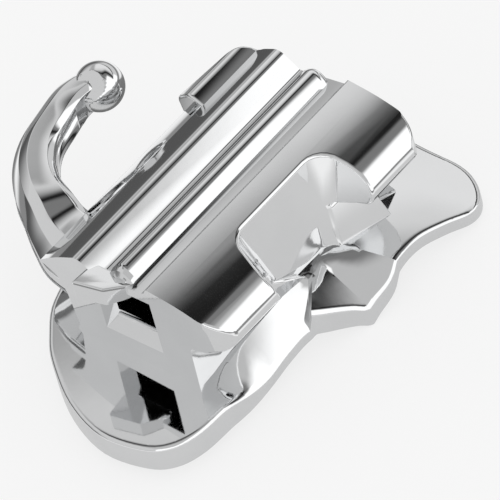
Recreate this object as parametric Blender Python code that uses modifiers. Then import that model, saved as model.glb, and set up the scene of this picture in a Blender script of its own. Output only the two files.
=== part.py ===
"""Buccal tube for a first molar, one moulded and sintered steel piece.

X runs along the tube from the end with the pull tab, Y is the gingival side with the hook, Z points away from the
tooth. Numbers are millimetres. Heights start at the pad's top by the near end, and y starts at the middle of the slot.
"""

import math

import bmesh
import bpy
from mathutils import Matrix, Vector

for old in list(bpy.data.objects):
    bpy.data.objects.remove(old)

MM = 0.001
FINE = 4

# Tube walls and wings
BODY_LENGTH = 3.25
LIP_START = 2.33
SECTION = (
    (-0.80, -0.70, 0),
    (-0.77, -0.07, 0),
    (-0.79, 0.52, 0.05),
    (-1.25, 0.63, 0.05),
    (-1.41, 0.915, 0.14),
    (-0.74, 1.112, 1.5),
    (-0.37, 1.162, 0.03),
    (-0.35, 1.00, 0.04),
    (0.35, 1.00, 0.04),
    (0.37, 1.14, 0.03),
    (0.56, 1.145, 0.6),
    (0.86, 1.01, 1.5),
    (1.10, 0.85, 0.02),
    (0.90, 0.73, 0.10),
    (0.82, 0.50, 0.2),
    (0.77, 0.08, 0.05),
    (0.82, -0.02, 0),
    (0.83, -0.70, 0),
)
PLAN = (
    (0.0, 1.6, 0),
    (0.0, -1.36, 0.38),
    (BODY_LENGTH, -1.36, 0.40),
    (BODY_LENGTH, 0.99, 0.34),
    (LIP_START, 1.17, 0),
    (1.8, 1.6, 0),
)
# Notch between the occlusal wings: its outline at two heights, narrower below
NOTCH_TOP = (
    (0.62, -1.90, 0),
    (0.80, -1.15, 0.12),
    (1.02, -0.655, 0.26),
    (2.40, -0.67, 0.26),
    (2.44, -1.33, 0.12),
    (2.40, -1.90, 0),
)
NOTCH_LOW = (
    (1.12, -1.90, 0),
    (1.14, -1.15, 0.12),
    (1.30, -0.80, 0.15),
    (2.10, -0.83, 0.15),
    (2.18, -1.33, 0.12),
    (2.18, -1.90, 0),
)
NOTCH_HEIGHTS = (1.1, 0.0)
NOTCH_FLOOR = ((-1, -2), (4, -2), (4, -0.25), (2.5, -0.25), (1.75, 0.0), (1.2, 0.33), (-1, 0.33))

# Pedestal that carries the tube, wider at its foot: (x, y) corners at two heights
FOOT = ((0.02, -0.76), (1.75, -0.90), (2.80, -1.02), (2.80, 0.86), (0.02, 0.80))
NECK = ((0.02, -0.76), (1.75, -0.80), (2.72, -0.84), (2.72, 0.80), (0.02, 0.78))
PEDESTAL_HEIGHTS = (-0.05, 0.50)

# Undercut below the far end, where the tube stands out past its pedestal
UNDERCUT = ((2.80, -0.6), (3.6, -0.6), (3.6, 0.10), (2.92, 0.05))

# Lumen for the arch wire, flared at both mouths
LUMEN_HALF = 0.285
LUMEN_FLOOR = 0.25
LUMEN_ROOF = 0.95
MOUTH_HALF = 0.37
MOUTH_FLOOR = 0.22
MOUTH_DEPTH = 0.22

# Cap that peels off: ridge and pull tab
RIDGE_MIDDLE = 0.03
RIDGE_HALF = 0.165
RIDGE_TOP = 1.18
RIDGE_START = 0.05
RIDGE_END = BODY_LENGTH - 0.01
TAB = (
    (-0.25, 0.41, 0.03),
    (-0.17, 0.06, 0.05),
    (0.05, -0.12, 0.05),
    (0.30, -0.12, 0),
    (0.30, 0.45, 0),
)
TAB_EDGE = 0.03
TAB_MIDDLE = (0.30, 0.15)
TAB_LOW = 0.88
TAB_HIGH = 1.10

# Rounded lip on the gingival wing's far half
LIP = (
    (0.78, 0.80, 0),
    (0.80, 1.05, 0.05),
    (0.98, 1.13, 0.10),
    (1.17, 1.00, 0.08),
    (1.15, 0.80, 0.06),
    (1.00, 0.74, 0.05),
)

# Hook: x, y, z, width, thickness at stations along the arm
HOOK = (
    (0.42, 0.70, 0.62, 0.82, 0.36),
    (0.46, 1.05, 0.62, 0.76, 0.36),
    (0.54, 1.32, 0.64, 0.63, 0.36),
    (0.65, 1.55, 0.72, 0.55, 0.38),
    (0.79, 1.80, 0.75, 0.49, 0.38),
    (1.02, 2.04, 0.76, 0.46, 0.38),
    (1.30, 2.20, 0.77, 0.44, 0.37),
    (1.62, 2.265, 0.79, 0.43, 0.37),
    (1.88, 2.23, 0.82, 0.42, 0.36),
    (2.08, 2.13, 0.86, 0.37, 0.34),
)
BALL = (2.15, 2.06, 0.88)
BALL_RADIUS = 0.245

# Bonding pad, drawn flat and then bent to the tooth
PAD = (
    (-0.21, 1.04),
    (-0.48, 0.78),
    (-0.81, 0.29),
    (-0.98, -0.24),
    (-0.91, -0.74),
    (-0.74, -0.99),
    (-0.44, -1.12),
    (0.02, -1.16),
    (0.50, -1.21),
    (0.88, -1.22),
    (1.20, -1.22),
    (1.42, -1.26),
    (1.68, -1.36),
    (1.80, -1.42),
    (1.95, -1.44),
    (2.18, -1.47),
    (2.40, -1.42),
    (2.72, -1.40),
    (3.05, -1.46),
    (3.35, -1.53),
    (3.58, -1.47),
    (3.76, -1.28),
    (3.84, -1.02),
    (3.80, -0.60),
    (3.78, 0.20),
    (3.66, 0.95),
    (3.30, 1.34),
    (2.70, 1.44),
    (1.70, 1.36),
    (0.70, 1.40),
    (0.18, 1.30),
)
PAD_THICK = 0.33
PAD_THICK_FAR = 0.18
PAD_THIN_FROM = 1.2
PAD_THIN_TO = 2.5
PAD_EDGE = 0.05
BEND_MIDDLE = (1.6, 0.3)
BEND_RADIUS = (7.0, 6.3)
BEND_RISE = 0.20
LEVEL_FROM = 0.50
LEVEL_TO = -0.10
LEVEL_HEIGHT = -0.035
LEVEL_SLOPE = (0.02, 0.0435)
VALLEY_START = (1.84, -0.93)
VALLEY_SLANT = -0.31
VALLEY_DEPTH = 0.03
VALLEY_SLOPE = 0.49
VALLEY_NEAR = (0.19, 1.09)
VALLEY_FAR = (0.32, 0.67)

# Pockets for the adhesive in the tooth side
PIT_SIDE = 0.26
PIT_STEP = 0.40
PIT_DEPTH = 0.07
PIT_MARGIN = 0.88
PAD_CENTRE = (1.5, -0.05)

parts = bpy.data.collections.new("buccal tube")
helpers = bpy.data.collections.new("cutters")
for group in (parts, helpers):
    bpy.context.scene.collection.children.link(group)


def rounded(corners, steps=FINE):
    """The outline of (a, b, radius) corners with an arc at each."""
    outline = []
    for i, (a, b, radius) in enumerate(corners):
        here = Vector((a, b))
        if not radius:
            outline.append(here)
            continue
        back = (Vector(corners[i - 1][:2]) - here).normalized()
        on = (Vector(corners[(i + 1) % len(corners)][:2]) - here).normalized()
        half = back.angle(on) / 2
        centre = here + (back + on).normalized() * radius / math.sin(half)
        first = here + back * radius / math.tan(half) - centre
        last = here + on * radius / math.tan(half) - centre
        turn = first.angle_signed(last)
        for step in range(steps + 1):
            outline.append(centre + Matrix.Rotation(-turn * step / steps, 2) @ first)
    return outline


def new_object(name, bm, group):
    bmesh.ops.recalc_face_normals(bm, faces=bm.faces)
    mesh = bpy.data.meshes.new(name)
    bm.to_mesh(mesh)
    bm.free()
    made = bpy.data.objects.new(name, mesh)
    group.objects.link(made)
    if group is helpers:
        made.hide_render = True
        made.display_type = "WIRE"
    return made


def prism(name, outline, axis, low, high, group=None):
    """A closed outline pushed along X, Y or Z from low to high."""
    bm = bmesh.new()
    corners = [list(point) for point in outline]
    for corner in corners:
        corner.insert("XYZ".index(axis), low)
    face = bm.faces.new([bm.verts.new(corner) for corner in corners])
    grown = bmesh.ops.extrude_face_region(bm, geom=[face])["geom"]
    push = [0, 0, 0]
    push["XYZ".index(axis)] = high - low
    bmesh.ops.translate(bm, vec=push, verts=[v for v in grown if isinstance(v, bmesh.types.BMVert)])
    return new_object(name, bm, group or helpers)


def loft(name, rings, group=None):
    """Rings of equal count skinned in order and closed at both ends."""
    bm = bmesh.new()
    rows = [[bm.verts.new(point) for point in ring] for ring in rings]
    count = len(rows[0])
    for row, after in zip(rows, rows[1:]):
        for i in range(count):
            j = (i + 1) % count
            bm.faces.new((row[i], row[j], after[j], after[i]))
    bm.faces.new(rows[0])
    bm.faces.new(rows[-1])
    return new_object(name, bm, group or helpers)


def boolean(target, tool, operation):
    step = target.modifiers.new(operation.lower() + " " + tool.name, "BOOLEAN")
    step.operation = operation
    step.solver = "EXACT"
    step.object = tool


def bevel(made, width, segments):
    """Rounds the square edges at the ends of a prism."""
    step = made.modifiers.new("edges", "BEVEL")
    step.width = width
    step.segments = segments
    step.limit_method = "ANGLE"
    step.angle_limit = math.radians(80)


def settle(made):
    """Applies the modifiers."""
    graph = bpy.context.evaluated_depsgraph_get()
    mesh = bpy.data.meshes.new_from_object(made.evaluated_get(graph))
    made.modifiers.clear()
    made.data = mesh


def through(stations, steps):
    """A smooth run of points through the stations."""
    run = []
    for i in range(len(stations) - 1):
        a = Vector(stations[max(i - 1, 0)])
        b = Vector(stations[i])
        c = Vector(stations[i + 1])
        d = Vector(stations[min(i + 2, len(stations) - 1)])
        for step in range(steps):
            t = step / steps
            run.append(
                (b * 2 + (c - a) * t + (a * 2 - b * 5 + c * 4 - d) * t**2 + (b * 3 - a - c * 3 + d) * t**3) / 2
            )
    run.append(Vector(stations[-1]))
    return run


def closed_run(points, steps):
    """A smooth closed outline through the points."""
    return through([points[-1], *points, points[0], points[1]], steps)[steps : -steps - 1]


def inside(x, y, outline):
    """Whether a point lies within a closed outline, by counting the edges a ray crosses."""
    crossed = 0
    for a, b in zip(outline, outline[1:] + outline[:1]):
        if (a.y > y) != (b.y > y) and x < a.x + (b.x - a.x) * (y - a.y) / (b.y - a.y):
            crossed += 1
    return crossed % 2 == 1


def pad_top(x, y):
    """Height of the pad's top: a tooth's two bends, a level near lobe, and the valley over the buccal groove."""
    z = BEND_RISE
    z -= (x - BEND_MIDDLE[0]) ** 2 / (2 * BEND_RADIUS[0])
    z -= (y - BEND_MIDDLE[1]) ** 2 / (2 * BEND_RADIUS[1])
    share = min(1.0, max(0.0, (LEVEL_FROM - x) / (LEVEL_FROM - LEVEL_TO)))
    share = share * share * (3 - 2 * share)
    z += (LEVEL_HEIGHT + LEVEL_SLOPE[0] * x + LEVEL_SLOPE[1] * y - z) * share
    out = VALLEY_START[1] - y
    if out <= -0.1:
        return z
    off = x - VALLEY_START[0] - VALLEY_SLANT * out
    start, spread = VALLEY_NEAR if off < 0 else VALLEY_FAR
    return z - max(0.0, VALLEY_DEPTH + VALLEY_SLOPE * out) * max(0.0, 1 - abs(off) / (start + spread * out))


def pad_thickness(x):
    along = min(1.0, max(0.0, (x - PAD_THIN_FROM) / (PAD_THIN_TO - PAD_THIN_FROM)))
    return PAD_THICK + (PAD_THICK_FAR - PAD_THICK) * along


def bend(made, scale_z):
    """Cuts a flat solid into strips both ways and lays it over the tooth."""
    bm = bmesh.new()
    bm.from_mesh(made.data)
    cuts = [(Vector((x, 0, 0)), Vector((1, 0, 0))) for x in [-0.9 + 0.3 * i for i in range(16)]]
    cuts += [(Vector((0, y, 0)), Vector((0, 1, 0))) for y in [-1.3 + 0.3 * i for i in range(9)]]
    cuts += [(Vector((x, 0, 0)), Vector((1, 0, 0))) for x in (-0.15, 0.15)]
    near = (VALLEY_START[0] - VALLEY_NEAR[0], VALLEY_SLANT - VALLEY_NEAR[1])
    far = (VALLEY_START[0] + VALLEY_FAR[0], VALLEY_SLANT + VALLEY_FAR[1])
    for x, slant in (near, (VALLEY_START[0], VALLEY_SLANT), far):
        cuts.append((Vector((x, VALLEY_START[1], 0)), Vector((1, slant, 0))))
    for point, normal in cuts:
        everything = bm.verts[:] + bm.edges[:] + bm.faces[:]
        bmesh.ops.bisect_plane(bm, geom=everything, dist=1e-5, plane_co=point, plane_no=normal)
    bmesh.ops.triangulate(bm, faces=bm.faces)
    for vert in bm.verts:
        x, y, z = vert.co
        if scale_z:
            z *= pad_thickness(x) / PAD_THICK
        vert.co.z = pad_top(x, y) + z
    bm.to_mesh(made.data)
    bm.free()


# Bonding pad
pad = prism("pad", closed_run(PAD, 3), "Z", -PAD_THICK, 0)
bevel(pad, PAD_EDGE, 2)
outline = [point * PIT_MARGIN for point in closed_run(PAD, 3)]
middle = Vector(((PAD_CENTRE[0]) * (1 - PIT_MARGIN), PAD_CENTRE[1] * (1 - PIT_MARGIN)))
outline = [point + middle for point in outline]
bm = bmesh.new()
for i in range(13):
    for j in range(8):
        x, y = (i - 3) * PIT_STEP, (j - 3) * PIT_STEP
        half = PIT_SIDE / 2
        if all(inside(x + a, y + b, outline) for a in (-half, half) for b in (-half, half)):
            place = Matrix.Translation((x, y, -PAD_THICK)) @ Matrix.Diagonal((PIT_SIDE, PIT_SIDE, PIT_DEPTH * 2, 1))
            bmesh.ops.create_cube(bm, size=1, matrix=place)
boolean(pad, new_object("pits", bm, helpers), "DIFFERENCE")
settle(pad)
bend(pad, True)

# Tube walls and wings: the section pushed along the tube, then trimmed to the plan
tube = prism("buccal_tube", rounded(SECTION), "X", 0, BODY_LENGTH, parts)
rows = []
for outline, height in ((FOOT, PEDESTAL_HEIGHTS[0]), (NECK, PEDESTAL_HEIGHTS[1])):
    rows.append([(x, y, height) for x, y in outline])
base = [(2 * low[0] - high[0], 2 * low[1] - high[1], 2 * low[2] - high[2]) for low, high in zip(*rows)]
boolean(tube, loft("pedestal", [base, *rows]), "UNION")
boolean(tube, prism("lip", rounded(LIP), "X", LIP_START, BODY_LENGTH), "UNION")
boolean(tube, prism("plan", rounded(PLAN, 8), "Z", -2, 2), "INTERSECT")
top, low = rounded(NOTCH_TOP, 6), rounded(NOTCH_LOW, 6)
rows = []
for height in (1.4, -0.3):
    along = (NOTCH_HEIGHTS[0] - height) / (NOTCH_HEIGHTS[0] - NOTCH_HEIGHTS[1])
    rows.append([(*a.lerp(b, along), height) for a, b in zip(top, low)])
notch = loft("notch", rows)
boolean(notch, prism("notch floor", NOTCH_FLOOR, "Y", -2.5, 2), "DIFFERENCE")
boolean(tube, notch, "DIFFERENCE")
boolean(tube, prism("undercut", UNDERCUT, "Y", -2, 2), "DIFFERENCE")
under = prism("under pad", [(-2, -3), (5, -3), (5, 3), (-2, 3)], "Z", -2, -0.5 * PAD_THICK_FAR)
bend(under, False)
boolean(tube, under, "DIFFERENCE")


# Lumen
def lumen_ring(x, depth):
    """The bore's outline at x, this deep inside its mouth."""
    flare = 1 - depth / MOUTH_DEPTH
    half = LUMEN_HALF + (MOUTH_HALF - LUMEN_HALF) * flare
    floor = LUMEN_FLOOR + (MOUTH_FLOOR - LUMEN_FLOOR) * flare
    return [(x, -half, floor), (x, half, floor), (x, half, LUMEN_ROOF), (x, -half, LUMEN_ROOF)]


rings = [lumen_ring(depth, depth) for depth in (-0.1, MOUTH_DEPTH)]
rings += [lumen_ring(BODY_LENGTH - depth, depth) for depth in (MOUTH_DEPTH, -0.1)]
boolean(tube, loft("lumen", rings), "DIFFERENCE")


# Ridge of the cap
def ridge_ring(x, half, top):
    low = 0.97
    rise = top - low
    points = [(-half * 1.35, low), (-half * 1.12, low + rise * 0.25)]
    for i in range(9):
        angle = math.pi - math.pi * i / 8
        points.append((half * math.cos(angle), low + rise * (0.45 + 0.55 * math.sin(angle))))
    points += [(half * 1.12, low + rise * 0.25), (half * 1.35, low)]
    return [(x, y + RIDGE_MIDDLE, z) for y, z in points]


boolean(
    tube,
    loft(
        "ridge",
        [
            ridge_ring(RIDGE_START, RIDGE_HALF, RIDGE_TOP),
            ridge_ring(RIDGE_END - 0.10, RIDGE_HALF, RIDGE_TOP),
            ridge_ring(RIDGE_END - 0.04, RIDGE_HALF * 0.9, RIDGE_TOP - 0.02),
            ridge_ring(RIDGE_END, RIDGE_HALF * 0.65, RIDGE_TOP - 0.07),
        ],
    ),
    "UNION",
)

# Pull tab
outline = rounded(TAB)
rows = [[(*point, height) for point in outline] for height in (TAB_LOW, TAB_HIGH - TAB_EDGE)]
middle = Vector(TAB_MIDDLE)
rows.append([(*(point - (point - middle).normalized() * TAB_EDGE), TAB_HIGH) for point in outline])
boolean(tube, loft("tab", rows), "UNION")

# Hook
run = through(HOOK, FINE)
rings = []
for i, here in enumerate(run):
    ahead = run[min(i + 1, len(run) - 1)] - run[max(i - 1, 0)]
    along = Vector((ahead[0], ahead[1], 0)).normalized()
    side = Vector((along.y, -along.x, 0))
    width, thick = here[3] / 2, here[4] / 2
    cut = min(width, thick) * 0.5
    shape = rounded(
        [
            (-width, -thick, cut),
            (width, -thick, cut),
            (width, thick, cut),
            (-width, thick, cut),
        ],
        3,
    )
    centre = Vector(here[:3])
    rings.append([centre + side * a + Vector((0, 0, b)) for a, b in shape])
boolean(tube, loft("arm", rings), "UNION")
bm = bmesh.new()
bmesh.ops.create_icosphere(bm, subdivisions=3, radius=BALL_RADIUS, matrix=Matrix.Translation(BALL))
boolean(tube, new_object("ball", bm, helpers), "UNION")
boolean(tube, pad, "UNION")
settle(tube)

# To metres, standing on the pad with the box's middle over the origin
low = Vector([min(v.co[i] for v in tube.data.vertices) for i in range(3)])
high = Vector([max(v.co[i] for v in tube.data.vertices) for i in range(3)])
shift = Vector((-(low.x + high.x) / 2, -(low.y + high.y) / 2, -low.z))
for made in list(parts.objects) + list(helpers.objects):
    made.data.transform(Matrix.Scale(MM, 4) @ Matrix.Translation(shift))
tube.data.polygons.foreach_set("use_smooth", [True] * len(tube.data.polygons))
tube.data.set_sharp_from_angle(angle=math.radians(30))

metal = bpy.data.materials.new("polished steel")
metal.use_nodes = True
shade = metal.node_tree.nodes["Principled BSDF"]
shade.inputs["Base Color"].default_value = (0.72, 0.73, 0.75, 1)
shade.inputs["Metallic"].default_value = 1
shade.inputs["Roughness"].default_value = 0.12
tube.data.materials.clear()
tube.data.materials.append(metal)
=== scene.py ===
import math

import bmesh
import bpy
from mathutils import Matrix, Vector


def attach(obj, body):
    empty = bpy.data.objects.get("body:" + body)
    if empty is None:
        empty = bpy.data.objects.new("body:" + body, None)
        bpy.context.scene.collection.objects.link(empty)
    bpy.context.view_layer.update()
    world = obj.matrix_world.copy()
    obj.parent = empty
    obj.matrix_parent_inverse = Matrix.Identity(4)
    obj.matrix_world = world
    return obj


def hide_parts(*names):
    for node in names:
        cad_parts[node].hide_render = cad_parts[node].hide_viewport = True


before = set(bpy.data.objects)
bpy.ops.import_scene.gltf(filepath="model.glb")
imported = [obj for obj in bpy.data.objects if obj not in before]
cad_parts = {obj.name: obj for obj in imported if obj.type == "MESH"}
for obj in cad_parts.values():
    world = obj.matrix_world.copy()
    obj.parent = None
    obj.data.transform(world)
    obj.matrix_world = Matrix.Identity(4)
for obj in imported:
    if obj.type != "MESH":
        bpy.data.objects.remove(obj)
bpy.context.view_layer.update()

# Bonding pad. The thin base that is glued to a molar, bent both ways to the tooth and opened by a valley
# over the buccal groove. It is moulded in one shot with the rest, and the pockets in its tooth side hold
# the adhesive. All lengths down to the steel are in millimetres.
MM = 0.001
PAD = (
    (-0.21, 1.04),
    (-0.48, 0.78),
    (-0.81, 0.29),
    (-0.98, -0.24),
    (-0.91, -0.74),
    (-0.74, -0.99),
    (-0.44, -1.12),
    (0.02, -1.16),
    (0.50, -1.18),
    (0.88, -1.17),
    (1.20, -1.18),
    (1.42, -1.26),
    (1.68, -1.36),
    (1.80, -1.42),
    (1.95, -1.44),
    (2.18, -1.47),
    (2.40, -1.42),
    (2.72, -1.40),
    (3.05, -1.46),
    (3.35, -1.53),
    (3.58, -1.47),
    (3.76, -1.28),
    (3.84, -1.02),
    (3.80, -0.60),
    (3.78, 0.20),
    (3.66, 0.95),
    (3.30, 1.34),
    (2.70, 1.44),
    (1.70, 1.36),
    (0.70, 1.40),
    (0.18, 1.30),
)
PAD_STEPS = 5
THICK_NEAR, THICK_FAR = 0.33, 0.18
THINNING = (1.2, 2.5)
RIM_ROUND, RIM_SEGMENTS, RIM_INSET = 0.05, 6, 0.015
BEND_MIDDLE = (1.6, 0.3)
BEND_RADIUS = (7.0, 6.3)
BEND_RISE = 0.20
LEVEL_FROM, LEVEL_TO = 0.50, -0.10
LEVEL_HEIGHT, LEVEL_SLOPE = -0.035, (0.02, 0.0435)
VALLEY_START = (1.84, -0.93)
VALLEY_DEPTH, VALLEY_SLOPE = 0.03, 0.49
VALLEY_NEAR = (0.19, 1.40)
VALLEY_FAR = (0.32, 0.36)
EDGE_FALL, EDGE_FALL_FROM = 0.54, -0.84
EDGE_FALL_START, EDGE_FALL_FADE = -0.2, (0.85, 0.08)
STRIP = 0.07
STRIP_COLUMNS, STRIP_ROWS = range(-15, 56), range(-22, 22)
TOUCHING = 1e-5
POCKET, POCKET_STEP, POCKET_DEPTH = 0.26, 0.40, 0.07
POCKET_COLUMNS, POCKET_ROWS = range(-3, 10), range(-3, 5)
POCKET_MIDDLE, POCKET_REACH = Vector((1.5, -0.05, 0)), 0.88


def smooth_run(stations, steps):
    """Points on a smooth run through the stations."""
    run = []
    for i in range(len(stations) - 1):
        a, b, c, d = (Vector(stations[min(max(i + k, 0), len(stations) - 1)]) for k in (-1, 0, 1, 2))
        for step in range(steps):
            t = step / steps
            bend = (a * 2 - b * 5 + c * 4 - d) * t**2
            twist = (b * 3 - a - c * 3 + d) * t**3
            run.append((b * 2 + (c - a) * t + bend + twist) / 2)
    return run + [Vector(stations[-1])]


def only(kind, geom):
    """The vertices, edges or faces among what an operator gives back."""
    return [part for part in geom if isinstance(part, kind)]


def push(bm, faces, vec):
    """Extrudes faces and moves the new ones."""
    grown = only(bmesh.types.BMVert, bmesh.ops.extrude_face_region(bm, geom=faces)["geom"])
    bmesh.ops.translate(bm, vec=vec, verts=grown)


def finish_mesh(name, bm):
    """Makes an object of a closed mesh, its faces turned outwards."""
    bmesh.ops.recalc_face_normals(bm, faces=bm.faces)
    mesh = bpy.data.meshes.new(name)
    bm.to_mesh(mesh)
    bm.free()
    piece = bpy.data.objects.new(name, mesh)
    bpy.context.scene.collection.objects.link(piece)
    return piece


def cut_or_join(target, tool, operation):
    """Joins or cuts with another solid, which is used up."""
    step = target.modifiers.new(operation.lower(), "BOOLEAN")
    step.operation = operation
    step.solver = "EXACT"
    step.object = tool
    mesh = bpy.data.meshes.new_from_object(target.evaluated_get(bpy.context.evaluated_depsgraph_get()))
    target.modifiers.clear()
    target.data = mesh
    bpy.data.objects.remove(tool)


def share_of(value, start, end):
    """How far a value has come from start to end, kept from 0 to 1."""
    return min(1.0, max(0.0, (value - start) / (end - start)))


def pad_height(x, y):
    """Top of the pad over the tooth: two bends, a level near lobe and the valley that widens to the edge."""
    bend_along = (x - BEND_MIDDLE[0]) ** 2 / (2 * BEND_RADIUS[0])
    bend_across = (y - BEND_MIDDLE[1]) ** 2 / (2 * BEND_RADIUS[1])
    z = BEND_RISE - bend_along - bend_across
    share = share_of(x, LEVEL_FROM, LEVEL_TO)
    share = share * share * (3 - 2 * share)
    z += (LEVEL_HEIGHT + LEVEL_SLOPE[0] * x + LEVEL_SLOPE[1] * y - z) * share
    out = VALLEY_START[1] - y
    depth = VALLEY_DEPTH + VALLEY_SLOPE * out
    if depth <= 0:
        return z
    off = x - VALLEY_START[0]
    start, spread = VALLEY_NEAR if off < 0 else VALLEY_FAR
    return z - depth * max(0.0, 1 - abs(off) / (start + spread * out))


def edge_fall(x, y):
    """How much lower the pad's top lies beyond the foot of the occlusal wall, up to the valley."""
    end = VALLEY_START[0] - VALLEY_NEAR[0] - VALLEY_NEAR[1] * max(0.0, VALLEY_START[1] - y)
    near = share_of(x - EDGE_FALL_START, 0, EDGE_FALL_FADE[0])
    far = share_of(end - x, 0, EDGE_FALL_FADE[1])
    return EDGE_FALL * max(0.0, EDGE_FALL_FROM - y) * near * near * (3 - 2 * near) * far


def lay_over_tooth(piece, thins):
    """Cuts a flat slab into narrow strips both ways and along the valley, then bends it."""
    bm = bmesh.new()
    bm.from_mesh(piece.data)
    cuts = [((x * STRIP, 0, 0), (1, 0, 0)) for x in STRIP_COLUMNS]
    cuts += [((0, y * STRIP, 0), (0, 1, 0)) for y in STRIP_ROWS]
    near = VALLEY_START[0] - VALLEY_NEAR[0]
    for x, spread in (
        (near, -VALLEY_NEAR[1]),
        (VALLEY_START[0], 0),
        (VALLEY_START[0] + VALLEY_FAR[0], VALLEY_FAR[1]),
        (near - EDGE_FALL_FADE[1], -VALLEY_NEAR[1]),
    ):
        cuts.append(((x, VALLEY_START[1], 0), (1, spread, 0)))
    for point, across in cuts:
        parts = bm.verts[:] + bm.edges[:] + bm.faces[:]
        bmesh.ops.bisect_plane(bm, geom=parts, dist=TOUCHING, plane_co=point, plane_no=across)
    bmesh.ops.triangulate(bm, faces=bm.faces)
    for vert in bm.verts:
        along = share_of(vert.co.x, *THINNING)
        if thins:
            vert.co.z -= edge_fall(vert.co.x, vert.co.y) * max(0.0, 1 + vert.co.z / THICK_NEAR)
            vert.co.z *= 1 + (THICK_FAR / THICK_NEAR - 1) * along
        vert.co.z += pad_height(vert.co.x, vert.co.y)
    bm.to_mesh(piece.data)
    bm.free()


def is_flat_side(face):
    """Whether a face is the slab's top or bottom, the only ones with more than four corners."""
    return len(face.verts) > 4


rim = smooth_run([PAD[-1], *PAD, PAD[0], PAD[1]], PAD_STEPS)[PAD_STEPS : -PAD_STEPS - 1]
bm = bmesh.new()
slab = bm.faces.new([bm.verts.new((x, y, -THICK_NEAR)) for x, y in rim])
push(bm, [slab], (0, 0, THICK_NEAR))
bmesh.ops.bevel(
    bm,
    geom=[edge for edge in bm.edges if any(is_flat_side(face) for face in edge.link_faces)],
    offset=RIM_ROUND,
    offset_type="OFFSET",
    segments=RIM_SEGMENTS,
    profile=0.5,
    affect="EDGES",
    material=-1,
)
flats = [face for face in bm.faces if is_flat_side(face)]
bmesh.ops.inset_region(bm, faces=flats, thickness=RIM_INSET, use_even_offset=True)
pad = finish_mesh("pad", bm)

pocket_field = [Vector((x, y, 0)).lerp(POCKET_MIDDLE, 1 - POCKET_REACH) for x, y in rim]


def in_pocket_field(x, y):
    """Whether a place lies inside the field, a smaller copy of the rim."""
    crossed = False
    for a, b in zip(pocket_field, pocket_field[1:] + pocket_field[:1]):
        if (a.y > y) != (b.y > y) and x < a.x + (b.x - a.x) * (y - a.y) / (b.y - a.y):
            crossed = not crossed
    return crossed


bm = bmesh.new()
half = POCKET / 2
for i in POCKET_COLUMNS:
    for j in POCKET_ROWS:
        x, y = i * POCKET_STEP, j * POCKET_STEP
        if all(in_pocket_field(x + a, y + b) for a in (-half, half) for b in (-half, half)):
            size = Matrix.Diagonal((POCKET, POCKET, POCKET_DEPTH * 2, 1))
            bmesh.ops.create_cube(bm, size=1, matrix=Matrix.Translation((x, y, -THICK_NEAR)) @ size)
cut_or_join(pad, finish_mesh("pockets", bm), "DIFFERENCE")
lay_over_tooth(pad, True)

# Tube walls and wings. A web either side of the bore carries an overhanging tie wing, and the gingival
# wing thickens to a lip at the far end. A ligature ties round the notch between the occlusal wings. The
# walls are one section, trimmed to the rounded plan that the moulding die gives them.
BODY_LENGTH = 3.25
LIP_START = 2.33
SECTION = (
    (-0.80, -0.70, 0),
    (-0.77, -0.07, 0),
    (-0.79, 0.52, 0.05),
    (-1.25, 0.63, 0.05),
    (-1.50, 0.885, 0.30),
    (-0.74, 1.112, 1.5),
    (-0.37, 1.162, 0.03),
    (-0.33, 1.08, 0.06),
    (0.29, 0.98, 0.03),
    (0.53, 1.165, 0.12),
    (0.86, 1.01, 1.5),
    (1.10, 0.85, 0.02),
    (0.90, 0.73, 0.10),
    (0.82, 0.50, 0.2),
    (0.77, 0.08, 0.05),
    (0.82, -0.02, 0),
    (0.83, -0.70, 0),
)
PLAN = (
    (0.0, 1.6, 0),
    (0.0, -1.36, 0.38),
    (BODY_LENGTH, -1.36, 0.40),
    (BODY_LENGTH, 0.99, 0.34),
    (LIP_START, 1.17, 0),
    (1.8, 1.6, 0),
)
LIP = (
    (0.78, 0.80, 0),
    (0.80, 1.05, 0.05),
    (0.98, 1.13, 0.10),
    (1.17, 1.00, 0.08),
    (1.15, 0.80, 0.06),
    (1.00, 0.74, 0.05),
)
NOTCH_TOP = (
    (0.62, -1.90, 0),
    (0.80, -1.15, 0.12),
    (1.02, -0.665, 0.26),
    (2.40, -0.665, 0.26),
    (2.44, -1.33, 0.12),
    (2.40, -1.90, 0),
)
NOTCH_LOW = (
    (1.12, -1.90, 0),
    (1.14, -1.15, 0.12),
    (1.30, -0.815, 0.15),
    (2.10, -0.815, 0.15),
    (2.18, -1.33, 0.12),
    (2.18, -1.90, 0),
)
NOTCH_HEIGHTS, NOTCH_REACH = (1.1, 0.0), (1.4, -0.3)
NOTCH_FLOOR = ((-1, -2), (4, -2), (4, -0.25), (2.5, -0.25), (1.75, 0.0), (1.2, 0.33), (-1, 0.33))
FOOT = ((0.02, -0.76), (1.75, -0.90), (2.80, -1.02), (2.80, 0.86), (0.02, 0.80))
NECK = ((0.02, -0.76), (1.75, -0.80), (2.72, -0.84), (2.72, 0.80), (0.02, 0.78))
PEDESTAL_HEIGHTS, PEDESTAL_BOTTOM = (-0.05, 0.50), -0.60
UNDERCUT = ((2.80, -0.6), (3.6, -0.6), (3.6, 0.10), (2.92, 0.05))
UNDER_PAD = ((-2, -3), (5, -3), (5, 3), (-2, 3))
LUMEN_HALF, LUMEN_FLOOR, LUMEN_ROOF = 0.285, 0.37, 0.95
MOUTH_HALF, MOUTH_FLOOR, MOUTH_DEPTH = 0.37, 0.24, 0.14
PAST_MOUTH = 0.1
CLEAR = 2
ARC, SECTION_ARC, PLAN_ARC, NOTCH_ARC = 8, 12, 16, 6


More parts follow.
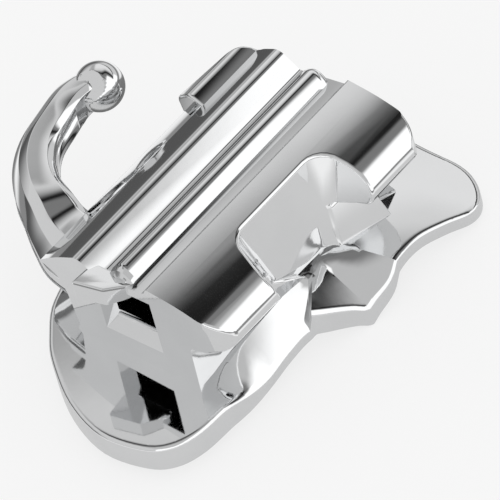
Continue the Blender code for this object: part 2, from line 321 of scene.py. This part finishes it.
def rounded_face(bm, corners, lift, arc=ARC, least=2):
    """A flat face through rounded corners (a, b, radius); a square corner gets all the arc's segments."""
    verts = [bm.verts.new(lift(a, b)) for a, b, _ in corners]
    spots = [vert.co.copy() for vert in verts]
    bm.faces.new(verts)
    for i, (vert, (_, _, radius)) in enumerate(zip(verts, corners)):
        if not radius:
            continue
        back, on = spots[i - 1] - spots[i], spots[(i + 1) % len(spots)] - spots[i]
        angle = back.angle(on)
        bmesh.ops.bevel(
            bm,
            geom=[vert],
            offset=radius / math.tan(angle / 2),
            offset_type="OFFSET",
            segments=max(least, round(arc * (2 - angle * 2 / math.pi))),
            profile=0.5,
            affect="VERTICES",
            material=-1,
        )
    bm.faces.ensure_lookup_table()
    return bm.faces[0]


def prism(name, corners, axis, low, high, arc=ARC):
    """A rounded outline pushed along X, Y or Z."""
    lifts = {
        "X": lambda a, b: (low, a, b),
        "Y": lambda a, b: (a, low, b),
        "Z": lambda a, b: (a, b, low),
    }
    bm = bmesh.new()
    face = rounded_face(bm, [(*corner, 0)[:3] for corner in corners], lifts[axis], arc)
    push(bm, [face], [high - low if letter == axis else 0 for letter in "XYZ"])
    return finish_mesh(name, bm)


def skin(name, rings):
    """Bridges closed rings of points in order and caps both ends."""
    bm = bmesh.new()
    loops = []
    for ring in rings:
        verts = [bm.verts.new(point) for point in ring]
        loops.append([bm.edges.new(pair) for pair in zip(verts, verts[1:] + verts[:1])])
    for loop, after in zip(loops, loops[1:]):
        bmesh.ops.bridge_loops(bm, edges=loop + after)
    bmesh.ops.holes_fill(bm, edges=loops[0] + loops[-1], sides=0)
    return finish_mesh(name, bm)


def blend(low, high, height, heights):
    """The outline at a height, on the straight walls through two others."""
    along = (height - heights[0]) / (heights[1] - heights[0])
    return [(*Vector(a[:2]).lerp(Vector(b[:2]), along), height) for a, b in zip(low, high)]


def notch_layer(corners):
    """The points of a rounded notch outline, as many for each outline."""
    bm = bmesh.new()
    face = rounded_face(bm, corners, lambda a, b: (a, b, 0), NOTCH_ARC, NOTCH_ARC)
    points = [tuple(vert.co) for vert in face.verts]
    bm.free()
    return points


def lumen_ring(x, depth):
    """The bore's outline at x, this deep inside its mouth."""
    flare = 1 - depth / MOUTH_DEPTH
    half = LUMEN_HALF + (MOUTH_HALF - LUMEN_HALF) * flare
    floor = LUMEN_FLOOR + (MOUTH_FLOOR - LUMEN_FLOOR) * flare
    return [(x, -half, floor), (x, half, floor), (x, half, LUMEN_ROOF), (x, -half, LUMEN_ROOF)]


tube = prism("tube", SECTION, "X", 0, BODY_LENGTH, SECTION_ARC)
pedestal = [blend(FOOT, NECK, height, PEDESTAL_HEIGHTS) for height in (PEDESTAL_BOTTOM, *PEDESTAL_HEIGHTS)]
cut_or_join(tube, skin("pedestal", pedestal), "UNION")
cut_or_join(tube, prism("lip", LIP, "X", LIP_START, BODY_LENGTH), "UNION")
cut_or_join(tube, prism("plan", PLAN, "Z", -CLEAR, CLEAR, PLAN_ARC), "INTERSECT")

layers = [notch_layer(corners) for corners in (NOTCH_TOP, NOTCH_LOW)]
notch = skin("notch", [blend(*layers, height, NOTCH_HEIGHTS) for height in NOTCH_REACH])
cut_or_join(notch, prism("notch floor", NOTCH_FLOOR, "Y", -CLEAR, CLEAR), "DIFFERENCE")
cut_or_join(tube, notch, "DIFFERENCE")
cut_or_join(tube, prism("undercut", UNDERCUT, "Y", -CLEAR, CLEAR), "DIFFERENCE")
under = prism("under pad", UNDER_PAD, "Z", -CLEAR, -THICK_FAR / 2)
lay_over_tooth(under, False)
cut_or_join(tube, under, "DIFFERENCE")

lumen = [lumen_ring(depth, depth) for depth in (-PAST_MOUTH, MOUTH_DEPTH)]
lumen += [lumen_ring(BODY_LENGTH - depth, depth) for depth in (MOUTH_DEPTH, -PAST_MOUTH)]
cut_or_join(tube, skin("lumen", lumen), "DIFFERENCE")

# Cap. The thin roof of the bore, moulded on so that it can be peeled off once by its pull tab, to turn
# the tube into an open bracket. A rounded ridge stiffens it between two tear grooves.
RIDGE_MIDDLE, RIDGE_HALF, RIDGE_LOW, RIDGE_TOP = 0.03, 0.21, 0.97, 1.18
RIDGE_START, RIDGE_END = 0.05, BODY_LENGTH - 0.01
RIDGE_SIDES, RIDGE_SWELL = 20, 0.8
RIDGE_NEAR = ((0, 0.8, 0.09), (0.03, 0.95, 0.035), (0.08, 1, 0))
RIDGE_FAR = ((0.10, 1, 0), (0.07, 0.97, 0.005), (0.04, 0.9, 0.02), (0.015, 0.78, 0.045), (0, 0.65, 0.07))
TAB = (
    (-0.25, 0.41, 0.03),
    (-0.17, 0.06, 0.05),
    (0.05, -0.12, 0.05),
    (0.13, -0.12, 0),
    (0.13, 0.45, 0),
)
TAB_LOW, TAB_HIGH, TAB_ROUND = 0.88, 1.10, 0.03
TAB_ROUND_STEPS = ((0.2, 0.55), (0.3, 0.3), (0.5, 0.15))
TAB_FALL, TAB_FALL_FROM = 0.22, -0.17


def ridge_ring(x, share, drop):
    """A low swell over the groove floor at x, with this share of the width and this much off its top."""
    half, rise = RIDGE_HALF * share, RIDGE_TOP - drop - RIDGE_LOW
    points = []
    for i in range(RIDGE_SIDES + 1):
        across = 2 * i / RIDGE_SIDES - 1
        swell = math.cos(across * math.pi / 2) ** RIDGE_SWELL
        points.append((x, half * across + RIDGE_MIDDLE, RIDGE_LOW + rise * swell))
    return points


ridge = [ridge_ring(RIDGE_START + inward, share, drop) for inward, share, drop in RIDGE_NEAR]
ridge += [ridge_ring(RIDGE_END - inward, share, drop) for inward, share, drop in RIDGE_FAR]
cut_or_join(tube, skin("ridge", ridge), "UNION")

bm = bmesh.new()
top = rounded_face(bm, TAB, lambda a, b: (a, b, TAB_HIGH - TAB_ROUND))
push(bm, [top], (0, 0, TAB_LOW - TAB_HIGH + TAB_ROUND))
bmesh.ops.recalc_face_normals(bm, faces=bm.faces)
top = max(bm.faces, key=lambda face: face.calc_center_median().z)
for width, rise in TAB_ROUND_STEPS:
    width, rise = width * TAB_ROUND, rise * TAB_ROUND
    bmesh.ops.inset_region(bm, faces=[top], thickness=width, depth=rise, use_even_offset=True)
for vert in bm.verts:
    if vert.co.z > (TAB_LOW + TAB_HIGH) / 2:
        vert.co.z -= TAB_FALL * (vert.co.x - TAB_FALL_FROM)
cut_or_join(tube, finish_mesh("tab", bm), "UNION")

# Hook. An arm with a flat, chamfered top that leaves the gingival wing near the pull tab and curls back
# beside the tube, with a ball end that keeps an elastic on. It is part of the same shot. Its stations are
# x, y, z, width and thickness.
HOOK = (
    (0.42, 0.70, 0.62, 0.82, 0.36),
    (0.46, 1.05, 0.62, 0.76, 0.36),
    (0.54, 1.32, 0.64, 0.63, 0.36),
    (0.65, 1.55, 0.72, 0.55, 0.38),
    (0.79, 1.80, 0.75, 0.49, 0.38),
    (1.02, 2.04, 0.76, 0.46, 0.38),
    (1.30, 2.20, 0.77, 0.44, 0.37),
    (1.62, 2.265, 0.79, 0.43, 0.37),
    (1.88, 2.26, 0.85, 0.42, 0.36),
    (2.08, 2.18, 0.90, 0.38, 0.34),
)
HOOK_SECTION = (
    (-0.50, -0.50, 0.03),
    (-0.50, -0.02, 0.05),
    (-0.29, 0.34, 0.04),
    (-0.08, 0.50, 0.04),
    (0.37, 0.50, 0.04),
    (0.50, 0.34, 0.05),
    (0.50, -0.50, 0.03),
)
HOOK_STEPS, HOOK_ARC = 8, 3
BALL, BALL_RADIUS, BALL_FACES = Vector((2.15, 2.08, 0.88)), 0.265, (64, 48)
BALL_FLAT, BALL_FLAT_AT = Vector((-0.66, -0.20, 0.73)), 0.215

run = smooth_run(HOOK, HOOK_STEPS)
frames = []
for i, here in enumerate(run):
    ahead = run[min(i + 1, len(run) - 1)] - run[max(i - 1, 0)]
    along = Vector((ahead[0], ahead[1], 0)).normalized()
    across = Vector((along.y, -along.x, 0))
    turn = Matrix((across, Vector((0, 0, 1)), along)).transposed().to_4x4()
    frames.append(Matrix.Translation(here[:3]) @ turn @ Matrix.Diagonal((here[3], here[4], 1, 1)))
bm = bmesh.new()
rounded_face(bm, HOOK_SECTION, lambda a, b: (a, b, 0), HOOK_ARC)
bmesh.ops.transform(bm, matrix=frames[0], verts=bm.verts)
ring = bm.edges[:]
for before, after in zip(frames, frames[1:]):
    grown = bmesh.ops.extrude_edge_only(bm, edges=ring)["geom"]
    ring = only(bmesh.types.BMEdge, grown)
    bmesh.ops.transform(bm, matrix=after @ before.inverted(), verts=only(bmesh.types.BMVert, grown))
bmesh.ops.holes_fill(bm, edges=ring, sides=0)
cut_or_join(tube, finish_mesh("arm", bm), "UNION")

bm = bmesh.new()
place = Matrix.Translation(BALL)
bmesh.ops.create_uvsphere(
    bm, u_segments=BALL_FACES[0], v_segments=BALL_FACES[1], radius=BALL_RADIUS, matrix=place
)
for vert in bm.verts:
    vert.co -= BALL_FLAT * max(0.0, (vert.co - BALL).dot(BALL_FLAT) - BALL_FLAT_AT)
cut_or_join(tube, finish_mesh("ball", bm), "UNION")
cut_or_join(tube, pad, "UNION")

# Polished steel. Sintered stainless steel, tumbled until it mirrors, with broken edges and the faint
# orange peel that tumbling leaves. The pockets on the tooth side keep their blasted, matt skin. The edges
# of the pad's rim and of the two end faces stay as moulded.
WELD = 0.001
EDGE_ROUND, EDGE_SEGMENTS = 0.032, 3
BROKEN_ABOVE, SMOOTH_BELOW = math.radians(32), math.radians(18)
END_MARGIN, PAD_MARGIN, SKIN_DEPTH = 0.01, 0.02, 0.05
SHORT_EDGE = 0.012
PALE_STEEL, GREY_STEEL = (0.83, 0.835, 0.84, 1), (0.80, 0.805, 0.81, 1)
MOTTLE_SCALE, PEEL_SCALE, GRIT_SCALE = 1300.0, 5200.0, 30000.0
GREYING, POLISHED, MOTTLED, BLASTED = (0.3, 0.7), 0.04, (0.03, 0.3, 0.75), 0.38
PEEL_HEIGHT, PEEL_STRENGTH, GRIT_TO_PEEL = 0.6e-6, 0.35, 20


class Value:
    """A node socket that takes part in arithmetic."""

    def __init__(self, tree, socket):
        self.tree, self.socket = tree, socket

    def maths(self, operation, *values):
        sockets = {f"i{i}": value for i, value in enumerate(values)}
        return add_node(self.tree, "ShaderNodeMath", {"operation": operation}, **sockets)

    def __add__(self, other):
        return self.maths("ADD", self, other)

    __radd__ = __add__

    def __mul__(self, other):
        return self.maths("MULTIPLY", self, other)

    __rmul__ = __mul__

    def __sub__(self, other):
        return self.maths("SUBTRACT", self, other)

    def __rsub__(self, other):
        return self.maths("SUBTRACT", other, self)

    def __abs__(self):
        return self.maths("ABSOLUTE", self)

    def least(self, other):
        return self.maths("MINIMUM", self, other)

    def ease(self, start, end):
        """0 to 1 between two values, eased."""
        settings = {"interpolation_type": "SMOOTHSTEP"}
        return add_node(self.tree, "ShaderNodeMapRange", settings, Value=self, From_Min=start, From_Max=end)

    def rise(self, amount, start, end):
        """0 to an amount between two values, eased."""
        return amount * self.ease(start, end)


def add_node(tree, kind, settings=None, out=0, **inputs):
    """A node with its settings, its sockets fed by name, or by number as i0; gives one output."""
    made = tree.nodes.new(kind)
    for name, setting in (settings or {}).items():
        setattr(made, name, setting)
    for name, value in inputs.items():
        key = int(name[1:]) if name[1:].isdigit() else name.replace("_", " ")
        if isinstance(value, Value):
            tree.links.new(value.socket, made.inputs[key])
        else:
            made.inputs[key].default_value = value
    return Value(tree, made.outputs[out])


steel = bpy.data.materials.new("polished steel")
steel.use_nodes = True
tree = steel.node_tree
spot = add_node(tree, "ShaderNodeTexCoord", out="Object")
mottle = add_node(tree, "ShaderNodeTexNoise", Vector=spot, Scale=MOTTLE_SCALE, Detail=3.0)
peel = add_node(tree, "ShaderNodeTexNoise", Vector=spot, Scale=PEEL_SCALE, Detail=2.0)
grit = add_node(tree, "ShaderNodeTexNoise", Vector=spot, Scale=GRIT_SCALE, Detail=4.0)
blasted = add_node(tree, "ShaderNodeAttribute", {"attribute_name": "blasted"}, out="Fac")
grey = mottle.ease(*GREYING)
colour = add_node(tree, "ShaderNodeMix", {"data_type": "RGBA"}, 2, Factor=grey, i6=PALE_STEEL, i7=GREY_STEEL)
rough = mottle.rise(*MOTTLED) + POLISHED + blasted * BLASTED
relief = peel * (1 - blasted) + grit * blasted * GRIT_TO_PEEL
bump = add_node(tree, "ShaderNodeBump", Strength=PEEL_STRENGTH, Distance=PEEL_HEIGHT, Height=relief)
principled = tree.nodes["Principled BSDF"]
principled.inputs["Metallic"].default_value = 1
for name, value in (("Base Color", colour), ("Roughness", rough), ("Normal", bump)):
    tree.links.new(value.socket, principled.inputs[name])

bm = bmesh.new()
bm.from_mesh(tube.data)
bmesh.ops.remove_doubles(bm, verts=bm.verts, dist=WELD)
broken = bm.edges.layers.float.new("bevel_weight_edge")
for edge in bm.edges:
    x, y, z = (edge.verts[0].co + edge.verts[1].co) / 2
    between_ends = END_MARGIN < x < BODY_LENGTH - END_MARGIN
    if edge.is_manifold and between_ends and z > pad_height(x, y) + PAD_MARGIN:
        edge[broken] = float(edge.calc_face_angle_signed() > BROKEN_ABOVE)
short = [edge for edge in bm.edges if edge[broken] and edge.calc_length() < SHORT_EDGE]
bmesh.ops.collapse(bm, edges=short)
bm.to_mesh(tube.data)
bm.free()

low = Vector([min(vert.co[i] for vert in tube.data.vertices) for i in range(3)])
high = Vector([max(vert.co[i] for vert in tube.data.vertices) for i in range(3)])
SHIFT = Vector((-(low.x + high.x) / 2, -(low.y + high.y) / 2, -low.z))
skin_mark = tube.data.attributes.new("blasted", "FLOAT", "FACE")
for face in tube.data.polygons:
    x, y, z = face.center
    under_skin = z < pad_height(x, y) - edge_fall(x, y) - SKIN_DEPTH
    skin_mark.data[face.index].value = float(under_skin and in_pocket_field(x, y))
tube.data.transform(Matrix.Scale(MM, 4) @ Matrix.Translation(SHIFT))
tube.data.polygons.foreach_set("use_smooth", [True] * len(tube.data.polygons))
tube.data.set_sharp_from_angle(angle=SMOOTH_BELOW)
edges = tube.modifiers.new("broken edges", "BEVEL")
edges.limit_method = "WEIGHT"
edges.width = EDGE_ROUND * MM
edges.segments = EDGE_SEGMENTS
edges.use_clamp_overlap = False
edges.loop_slide = False
edges.harden_normals = True
tube.data.materials.clear()
tube.data.materials.append(steel)
tube.name = "moulded_tube"
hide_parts("buccal_tube")
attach(tube, "root")

# Floor, light and camera. A white table in a white tent, and a sheet with a black stripe over the part, as
# photographers use to draw edges on mirror-bright metal. Only reflections show the sheet. The camera sees
# the table plain white, but reflections show a painted pool of light on it round the part and a painted
# shade band behind the part. Each rise is an amount, and where it starts and ends.
WHITE, CLOTH = (1, 1, 1, 1), (0.86, 0.86, 0.86, 1)
# The table's glow, ring and fade paint a pool of light, and the shade paints a dark band, that only
# reflections show.
TABLE_HALF, TABLE_MIDDLE, TABLE_PAINTED_GLOW, TABLE_MIX = 0.3, 1.6, 0.69, 0.75
PAINTED_RING, PAINTED_RING_FADE = (0.45, 12.0, 24.0), (1.0, 30.0, 110.0)
SHADE_WAY, SHADE, SHADE_START, SHADE_END = (0.636, 0.771), 0.93, (2.3, 2.9), (5.4, 4.6)
SHEET_MIDDLE, SHEET_HEIGHT, SHEET_SIDE = 8, 14.5, 50
STRIPE_WAY, STRIPE_AT, STRIPE_BLACK = (0.748, 0.664), 4.94, 0.015
STRIPE_BEND = (4.2, -4.5, -11.0)
NEAR_EDGE, NEAR_PAPER = (0.2, 0.0, -2.5), (0.37, -4.5, -9.0)
FAR_EDGE, FAR_PAPER = (0.75, 0.3, 7.5), (0.12, 7.0, 12.0)
DIM_CORNER, DIM_ALONG, DIM_ACROSS = 0.48, (0.0, 3.0), (6.0, 7.5)
ASIDE, ASIDE_ALONG = 0.7, (5.0, 9.0)
PALE, PALE_ALONG, PALE_ACROSS = 1.25, (-11.0, -13.5), (1.5, -1.5)
TENT, TENT_SOUTH = 0.69, (0.55, 0.3, 0.42)
DUSK, DUSK_LOW, DUSK_RISE = (0.4, 0.75), 0.1, (0.58, 0.05, 0.55)
FLAG, FLAG_EAST, FLAG_HEIGHT, FLAG_EDGE = 0.9, (0.75, 0.86), 0.47, (0.2, 0.1)
SOFT_LIGHT = 0.8
LAMP_PLACE, LAMP_SIZE, LAMP_POWER = Vector((-0.03, -0.05, 0.09)), 0.06, 0.006
LOOK_AT = (Vector((1.633, -0.057, 0)) + SHIFT) * MM
BACK = Vector((-0.451, -0.547, 0.705))
RIGHT = Vector((0.618, -0.762, -0.195))
LENS, SENSOR, VIEW_WIDTH, CLIP = 800, 36, 0.005, (0.001, 10)


def plain_material(name):
    """A material with no nodes yet, and its tree."""
    made = bpy.data.materials.new(name)
    made.use_nodes = True
    made.node_tree.nodes.clear()
    return made, made.node_tree


def light_path(tree):
    """Camera rays, and the glossy and clear ones that show the background."""
    path = tree.nodes.new("ShaderNodeLightPath")
    rays = ("Is Camera Ray", "Is Glossy Ray", "Is Transmission Ray")
    camera, glossy, clear = (Value(tree, path.outputs[name]) for name in rays)
    return camera, (glossy + clear).least(1.0)


def directions(tree, coordinates):
    """The three parts of Object or Generated coordinates."""
    parts = tree.nodes.new("ShaderNodeSeparateXYZ")
    tree.links.new(add_node(tree, "ShaderNodeTexCoord", out=coordinates).socket, parts.inputs[0])
    return [Value(tree, out) for out in parts.outputs]


def places(tree):
    """Object coordinates along and across the tube, in the millimetres of the sizes above."""
    x, y, _ = directions(tree, "Object")
    return x * (1 / MM) - SHIFT.x, y * (1 / MM) - SHIFT.y


def show(tree, surface, kind):
    """Ends a tree in its output."""
    tree.links.new(surface.socket, tree.nodes.new(kind).inputs["Surface"])


bm = bmesh.new()
bmesh.ops.create_grid(bm, x_segments=1, y_segments=1, size=TABLE_HALF)
table = finish_mesh("table", bm)
white, tree = plain_material("white table, painted light and shade")
camera_ray, mirror_ray = light_path(tree)
x, y = places(tree)
# Painted pool of light for reflections: a bright ring on the table round the part, fading to dark far off.
away = (x - TABLE_MIDDLE) * (x - TABLE_MIDDLE) + y * y
painted_light = TABLE_PAINTED_GLOW + away.rise(*PAINTED_RING) - away.rise(*PAINTED_RING_FADE)
# Painted shade for reflections: a dark band on the table behind the part, which the camera does not see.
behind = x * SHADE_WAY[0] + y * SHADE_WAY[1]
painted_light = painted_light * (1 - SHADE * behind.ease(*SHADE_START) * behind.ease(*SHADE_END))
cloth = add_node(tree, "ShaderNodeBsdfDiffuse", Color=CLOTH)
glow = add_node(tree, "ShaderNodeEmission", Color=WHITE, Strength=camera_ray + (1 - camera_ray) * painted_light)
seen = (camera_ray + mirror_ray).least(1.0) * TABLE_MIX
show(tree, add_node(tree, "ShaderNodeMixShader", i0=seen, i1=cloth, i2=glow), "ShaderNodeOutputMaterial")
table.data.materials.append(white)

bm = bmesh.new()
place = Matrix.Scale(MM, 4) @ Matrix.Translation((SHEET_MIDDLE + SHIFT.x, SHIFT.y, SHEET_HEIGHT + SHIFT.z))
bmesh.ops.create_grid(bm, x_segments=1, y_segments=1, size=SHEET_SIDE / 2, matrix=place)
sheet = finish_mesh("striped_sheet", bm)
sheet.visible_camera = sheet.visible_diffuse = sheet.visible_shadow = sheet.visible_transmission = False
striped, tree = plain_material("striped sheet")
x, y = places(tree)
across = x * STRIPE_WAY[0] + y * STRIPE_WAY[1] - STRIPE_AT
along = y * STRIPE_WAY[0] - x * STRIPE_WAY[1]
bent = across - along.rise(*STRIPE_BEND)
bright = STRIPE_BLACK + bent.rise(*NEAR_EDGE) + bent.rise(*NEAR_PAPER)
far = bent.rise(*FAR_EDGE) + bent.rise(*FAR_PAPER)
bright = bright + far * (1 - DIM_CORNER * along.ease(*DIM_ALONG) * across.ease(*DIM_ACROSS))
aside = along.ease(*ASIDE_ALONG)
bright = bright * (1 - aside) + ASIDE * aside
pale = along.ease(*PALE_ALONG) * across.ease(*PALE_ACROSS)
bright = bright * (1 - pale) + PALE * pale
glow = add_node(tree, "ShaderNodeEmission", Color=WHITE, Strength=bright)
show(tree, glow, "ShaderNodeOutputMaterial")
sheet.data.materials.append(striped)

world = bpy.data.worlds.new("tent")
bpy.context.scene.world = world
world.use_nodes = True
tree = world.node_tree
tree.nodes.clear()
east, north, up = directions(tree, "Generated")
camera_ray, mirror_ray = light_path(tree)
dusk = north.ease(*DUSK)
flag = east.ease(*FLAG_EAST) * abs(up - FLAG_HEIGHT).ease(*FLAG_EDGE)
tent = (TENT + (0 - north).rise(*TENT_SOUTH)) * (1 - dusk) + dusk * (DUSK_LOW + up.rise(*DUSK_RISE))
tent = tent * (1 - FLAG * flag)
lit = camera_ray + (1 - camera_ray) * (mirror_ray * tent + (1 - mirror_ray) * SOFT_LIGHT)
show(tree, add_node(tree, "ShaderNodeBackground", Color=WHITE, Strength=lit), "ShaderNodeOutputWorld")

lamp = bpy.data.lights.new("soft lamp", "AREA")
lamp.size = LAMP_SIZE
lamp.energy = LAMP_POWER
lamp_spot = bpy.data.objects.new("soft lamp", lamp)
lamp_spot.location = LAMP_PLACE
lamp_spot.rotation_euler = (-LAMP_PLACE).to_track_quat("-Z", "Y").to_euler()
bpy.context.scene.collection.objects.link(lamp_spot)

eye = bpy.data.cameras.new("camera")
eye.lens, eye.sensor_width = LENS, SENSOR
eye.clip_start, eye.clip_end = CLIP
camera = bpy.data.objects.new("camera", eye)
turn = Matrix((RIGHT, BACK.cross(RIGHT), BACK)).transposed().to_4x4()
camera.matrix_world = Matrix.Translation(LOOK_AT + BACK * VIEW_WIDTH * LENS / SENSOR) @ turn
bpy.context.scene.collection.objects.link(camera)
bpy.context.scene.camera = camera
bpy.context.scene.view_settings.view_transform = "Standard"
